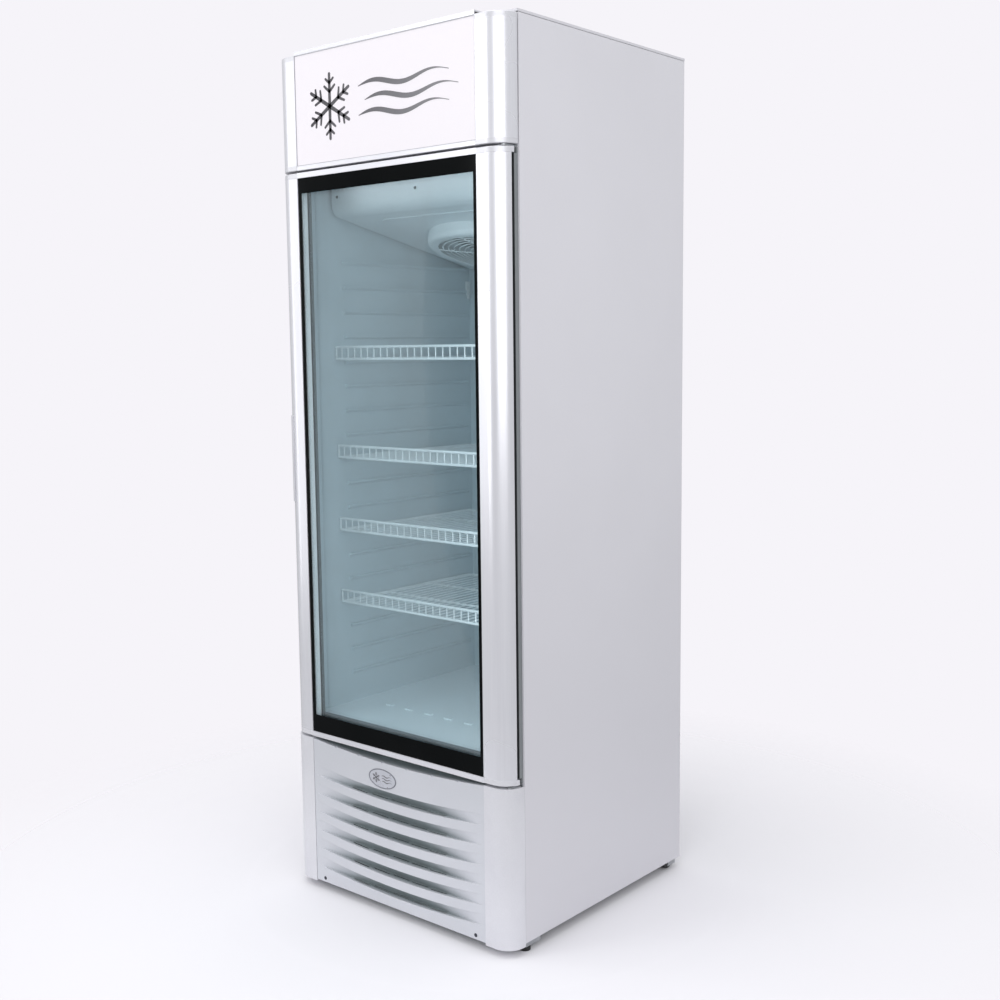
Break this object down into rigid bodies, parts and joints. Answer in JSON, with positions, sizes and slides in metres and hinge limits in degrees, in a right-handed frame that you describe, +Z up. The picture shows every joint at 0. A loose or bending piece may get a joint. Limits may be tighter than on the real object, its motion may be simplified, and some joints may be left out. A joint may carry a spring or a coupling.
{
  "type": "reach in refrigerator",
  "caption": "Upright reach-in display cooler with one hinged glass door, wire shelves, lit header sign, side columns and a slotted front grille over the compressor space.",
  "frame": {"origin": "centre of the bounding box at floor level, where the feet and rollers stand", "axes": "+Z up, the door faces -Y, the hinge side is +X"},
  "size_m": [0.69, 0.669, 1.98],
  "materials": {
    "side_paint": "light grey powder coat",
    "roof_paint": "light grey powder coat",
    "galvanised": "galvanised sheet",
    "foam": "polyurethane foam",
    "liner": "vacuum formed liner",
    "frame_grey": "dark grey extrusion",
    "sign_white": "opal sign panel",
    "silver": "satin silver",
    "silver_plastic": "satin silver plastic",
    "reflector_white": "white enamel",
    "lamp_glass": "opal tube",
    "cover_white": "moulded cover",
    "guard_white": "white guard",
    "fan_black": "moulded impeller",
    "motor_steel": "motor shell",
    "fin_metal": "bare fins",
    "knob_grey": "knob",
    "sensor_white": "clip",
    "shelf_white": "white coated wire",
    "base_steel": "zinc plated steel",
    "black_paint": "black enamel",
    "copper": "copper tube",
    "tray_black": "moulded tray",
    "box_grey": "moulded box",
    "grille_paint": "painted grille",
    "kick_silver": "moulded front grille",
    "screw_steel": "screw",
    "badge_silver": "blank oval plate",
    "hinge_steel": "zinc plated steel",
    "foot_rubber": "black pad",
    "roller_black": "nylon roller",
    "glass": "clear tempered glass",
    "spacer_grey": "spacer bar",
    "gasket_black": "magnetic gasket",
    "bush_nylon": "nylon bush"
  },
  "bodies": {
    "cabinet": {"side_panel_right": "side_paint", "side_panel_left": "side_paint", "top_panel": "roof_paint", "back_panel": "galvanised", "machine_deck": "galvanised", "foam_insulation": "foam", "liner_right": "liner", "liner_left": "liner", "liner_back": "liner", "liner_floor": "liner", "liner_ceiling": "liner", "front_frame": "frame_grey", "header_panel": "sign_white", "header_rails": "silver", "header_columns": "silver", "header_caps": "silver_plastic", "header_reflector": "reflector_white", "header_lamp": "lamp_glass", "evaporator_cover": "cover_white", "evaporator_fan_guard": "guard_white", "evaporator_fan_motor": "motor_steel", "evaporator_coil": "fin_metal", "temperature_sensor": "sensor_white", "shelf_1": "shelf_white", "shelf_2": "shelf_white", "shelf_3": "shelf_white", "shelf_4": "shelf_white", "base_frame": "base_steel", "compressor": "black_paint", "condenser_coil": "black_paint", "condenser_fan_shroud": "galvanised", "condenser_fan_motor": "motor_steel", "refrigerant_tubes": "copper", "evaporation_tray": "tray_black", "electrical_box": "box_grey", "rear_grille": "grille_paint", "kick_panel": "kick_silver", "panel_screws": "screw_steel", "badge_plate": "badge_silver", "kick_columns": "silver_plastic", "hinge_bracket_bottom": "hinge_steel", "hinge_bracket_top": "hinge_steel"},
    "door": {"door_stile_right": "silver", "door_stile_left": "silver", "door_corner_caps": "silver_plastic", "hinge_bushes": "bush_nylon", "door_rails": "silver", "door_glass_outer": "glass", "door_glass_inner": "glass", "glass_spacer": "spacer_grey", "door_inner_frame": "frame_grey", "door_gasket": "gasket_black", "door_grip": "silver_plastic"},
    "evaporator_fan": {"evaporator_fan_blade": "fan_black"},
    "condenser_fan": {"condenser_fan_blade": "fan_black"},
    "thermostat": {"thermostat_knob": "knob_grey"},
    "foot_right": {"levelling_foot_right": "foot_rubber"},
    "foot_left": {"levelling_foot_left": "foot_rubber"},
    "roller_right": {"rear_roller_right": "roller_black"},
    "roller_left": {"rear_roller_left": "roller_black"}
  },
  "joints": [
    {"name": "door_hinge", "type": "hinge", "parent": "cabinet", "child": "door", "pos_m": [0.328, -0.312, 0.383], "axis": [0, 0, 1], "range_deg": [0, 110]},
    {"name": "evaporator_fan_spin", "type": "hinge", "parent": "cabinet", "child": "evaporator_fan", "pos_m": [0, 0.081, 1.56249], "axis": [0, 0.2115, 0.9774], "continuous": true},
    {"name": "condenser_fan_spin", "type": "hinge", "parent": "cabinet", "child": "condenser_fan", "pos_m": [-0.02, -0.188, 0.192], "axis": [0, 1, 0], "continuous": true},
    {"name": "thermostat_turn", "type": "hinge", "parent": "cabinet", "child": "thermostat", "pos_m": [0.24, -0.144, 1.61118], "axis": [0, 0, 1], "range_deg": [0, 270]},
    {"name": "foot_screw_right", "type": "slide", "parent": "cabinet", "child": "foot_right", "axis": [0, 0, -1], "range_m": [0, 0.012]},
    {"name": "foot_screw_left", "type": "slide", "parent": "cabinet", "child": "foot_left", "axis": [0, 0, -1], "range_m": [0, 0.012]},
    {"name": "roller_spin_right", "type": "hinge", "parent": "cabinet", "child": "roller_right", "pos_m": [0.322, 0.302, 0.022], "axis": [1, 0, 0], "continuous": true},
    {"name": "roller_spin_left", "type": "hinge", "parent": "cabinet", "child": "roller_left", "pos_m": [-0.322, 0.302, 0.022], "axis": [1, 0, 0], "continuous": true}
  ]
}
